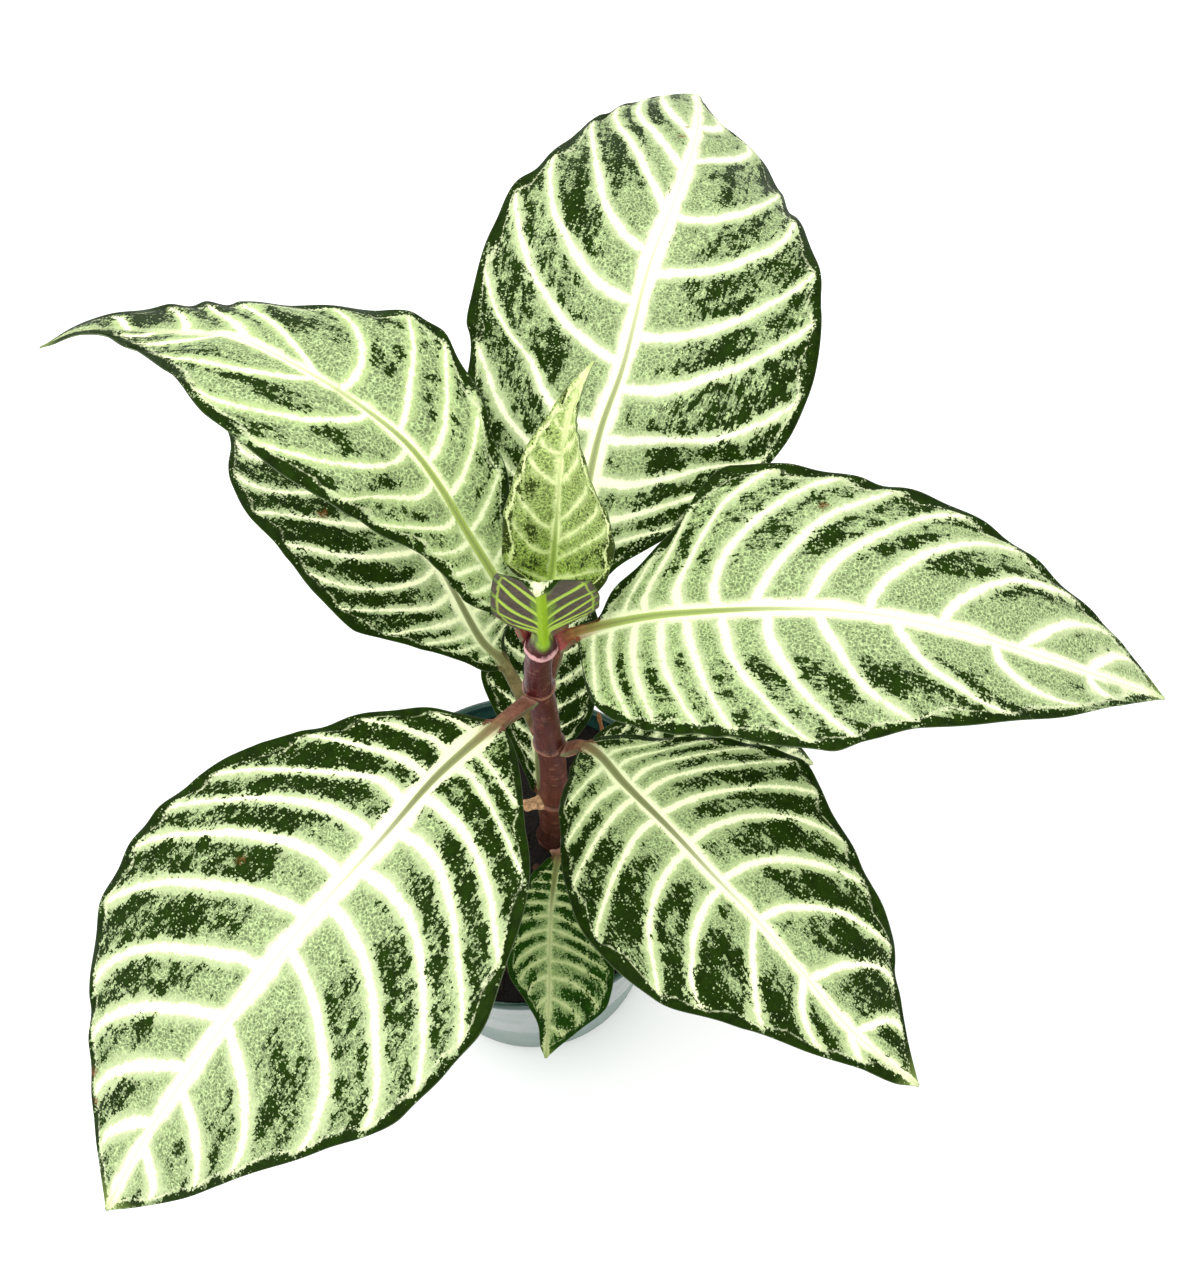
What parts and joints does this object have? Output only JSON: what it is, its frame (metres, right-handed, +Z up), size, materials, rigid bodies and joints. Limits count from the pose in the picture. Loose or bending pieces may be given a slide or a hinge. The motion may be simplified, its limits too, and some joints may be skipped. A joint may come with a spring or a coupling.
{
  "type": "potted zebra plant",
  "caption": "Leafy houseplant: an erect stem with opposite pairs of dark green leaves with bold pale veins, growing in soil in a tapered plastic nursery pot.",
  "frame": {"origin": "on the floor, at the centre of the pot's flat underside", "axes": "+Z up along the pot's axis; -Y toward the viewer of the reference view; +X to the viewer's right"},
  "size_m": [0.3192, 0.3393, 0.3481],
  "materials": {
    "pot_plastic": "glossy dark teal polypropylene",
    "potting_soil": "moist dark peat mix, matte",
    "stem_bark": "red-brown young bark, satin",
    "dry_stub": "dry pale tan scar, matte",
    "leaf_striped": "satin leaf with pale veins on green",
    "leaf_young": "satin young leaf, lime green with thin veins"
  },
  "bodies": {
    "root": {"pot": "pot_plastic", "soil": "potting_soil", "stem": "stem_bark", "stub_left": "dry_stub", "leaf_young_back": "leaf_young", "leaf_young_front": "leaf_young", "leaf_left": "leaf_striped", "leaf_right": "leaf_striped", "leaf_front_left": "leaf_striped", "leaf_back": "leaf_striped", "leaf_back_left": "leaf_striped", "leaf_front_right": "leaf_striped", "leaf_low_right": "leaf_striped", "leaf_low_back": "leaf_striped", "leaf_low_front": "leaf_striped"}
  },
  "joints": []
}
